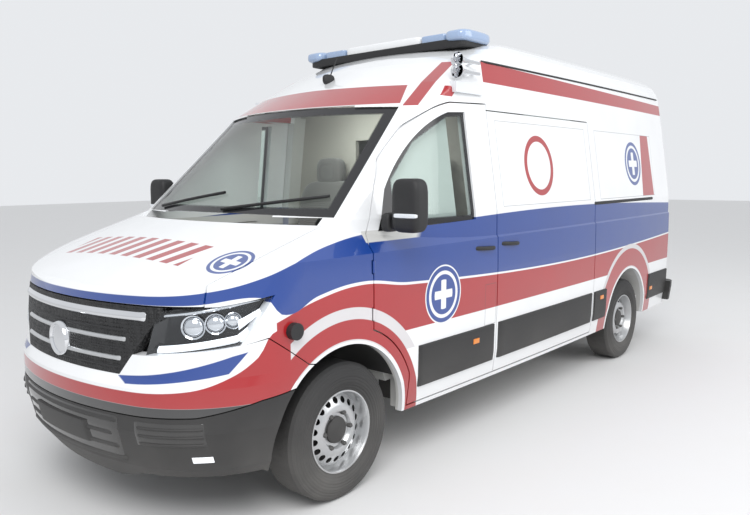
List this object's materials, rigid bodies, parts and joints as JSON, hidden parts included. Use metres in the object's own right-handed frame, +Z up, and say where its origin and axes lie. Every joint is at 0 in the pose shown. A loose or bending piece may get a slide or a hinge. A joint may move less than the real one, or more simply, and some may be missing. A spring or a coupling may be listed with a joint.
{
  "type": "ambulance",
  "caption": "High-roof panel van ambulance with light bar, sliding side doors, hinged rear doors, steered front wheels and a hinged bonnet.",
  "frame": {"origin": "centre of the bounding box on the ground", "axes": "+X forward, +Y to the vehicle's left, +Z up"},
  "size_m": [5.866, 2.426, 2.612],
  "materials": {
    "body_paint": "gloss white with coloured bands",
    "black_plastic": "grained",
    "glass": "clear",
    "lamp_clear": "clear lens",
    "lamp_red": "red lens",
    "lamp_blue": "blue lens",
    "chassis_black": "satin",
    "cast": "cast",
    "rim_silver": "silver",
    "tyre": "rubber",
    "seat_fabric": "woven",
    "trim_grey": "smooth",
    "dash_dark": "grained",
    "chrome": "polished",
    "white_plastic": "smooth"
  },
  "bodies": {
    "body": {"air_horns": "chrome", "bumper_lower": "black_plastic", "bumper_upper": "body_paint", "chassis_rails": "chassis_black", "dashboard": "dash_dark", "engine_block": "cast", "firewall": "chassis_black", "floor_pan": "body_paint", "front_subframe": "chassis_black", "front_wing_left": "body_paint", "front_wing_right": "body_paint", "fuel_tank": "black_plastic", "grille": "black_plastic", "headlamps": "lamp_clear", "light_bar_base": "black_plastic", "light_bar_lenses": "lamp_blue", "light_bar_sign": "white_plastic", "partition": "trim_grey", "power_inlet": "black_plastic", "rear_axle": "chassis_black", "rear_bumper": "black_plastic", "roof": "body_paint", "roof_antenna": "black_plastic", "scene_lights": "lamp_clear", "seat_driver": "seat_fabric", "seat_passenger": "seat_fabric", "side_frame_left": "body_paint", "side_frame_right": "body_paint", "sliding_door_left": "body_paint", "sliding_door_right": "body_paint", "tail_lamps": "lamp_red", "wheel_liners": "black_plastic", "windscreen": "glass"},
    "front_door_left": {"front_door_glass_left": "glass", "front_door_left": "body_paint", "mirror_left": "black_plastic"},
    "front_door_right": {"front_door_glass_right": "glass", "front_door_right": "body_paint", "mirror_right": "black_plastic"},
    "rear_door_left": {"rear_door_glass_left": "glass", "rear_door_left": "body_paint"},
    "rear_door_right": {"rear_door_glass_right": "glass", "rear_door_right": "body_paint"},
    "bonnet": {"bonnet": "body_paint"},
    "knuckle_left": {"knuckle_left": "cast"},
    "knuckle_right": {"knuckle_right": "cast"},
    "steering_wheel": {"steering_wheel": "dash_dark"},
    "wheel_front_left": {"tyre_front_left": "tyre", "rim_front_left": "rim_silver"},
    "wheel_front_right": {"tyre_front_right": "tyre", "rim_front_right": "rim_silver"},
    "wheel_rear_left": {"tyre_rear_left": "tyre", "rim_rear_left": "rim_silver"},
    "wheel_rear_right": {"tyre_rear_right": "tyre", "rim_rear_right": "rim_silver"}
  },
  "joints": [
    {"name": "front_door_left_hinge", "type": "hinge", "parent": "body", "child": "front_door_left", "pos_m": [1.74, 1, 1.05], "axis": [0, 0, -1], "range_deg": [0, 70]},
    {"name": "rear_door_left_hinge", "type": "hinge", "parent": "body", "child": "rear_door_left", "pos_m": [-2.887, 0.775, 1.4], "axis": [0, 0, -1], "range_deg": [0, 180]},
    {"name": "steer_left", "type": "hinge", "parent": "body", "child": "knuckle_left", "pos_m": [1.937, 0.745, 0.354], "axis": [0, 0, 1], "range_deg": [-35, 35]},
    {"name": "spin_front_left", "type": "hinge", "parent": "knuckle_left", "child": "wheel_front_left", "pos_m": [1.937, 0.85, 0.354], "axis": [0, 1, 0], "continuous": true},
    {"name": "spin_rear_left", "type": "hinge", "parent": "body", "child": "wheel_rear_left", "pos_m": [-1.703, 0.85, 0.354], "axis": [0, 1, 0], "continuous": true},
    {"name": "front_door_right_hinge", "type": "hinge", "parent": "body", "child": "front_door_right", "pos_m": [1.74, -1, 1.05], "axis": [0, 0, 1], "range_deg": [0, 70]},
    {"name": "rear_door_right_hinge", "type": "hinge", "parent": "body", "child": "rear_door_right", "pos_m": [-2.887, -0.775, 1.4], "axis": [0, 0, 1], "range_deg": [0, 180]},
    {"name": "steer_right", "type": "hinge", "parent": "body", "child": "knuckle_right", "pos_m": [1.937, -0.745, 0.354], "axis": [0, 0, 1], "range_deg": [-35, 35]},
    {"name": "spin_front_right", "type": "hinge", "parent": "knuckle_right", "child": "wheel_front_right", "pos_m": [1.937, -0.85, 0.354], "axis": [0, 1, 0], "continuous": true},
    {"name": "spin_rear_right", "type": "hinge", "parent": "body", "child": "wheel_rear_right", "pos_m": [-1.703, -0.85, 0.354], "axis": [0, 1, 0], "continuous": true},
    {"name": "bonnet_hinge", "type": "hinge", "parent": "body", "child": "bonnet", "pos_m": [1.885, 0, 1.37], "axis": [0, -1, 0], "range_deg": [0, 50]},
    {"name": "steering_wheel_turn", "type": "hinge", "parent": "body", "child": "steering_wheel", "pos_m": [1.42, 0.47, 1.24], "axis": [-0.8829, 0, 0.4695], "range_deg": [-525, 525]}
  ],
  "couplings": [
    {"joint": "steer_right", "follows": "steer_left", "ratio": 1},
    {"joint": "steering_wheel_turn", "follows": "steer_left", "ratio": 15}
  ]
}
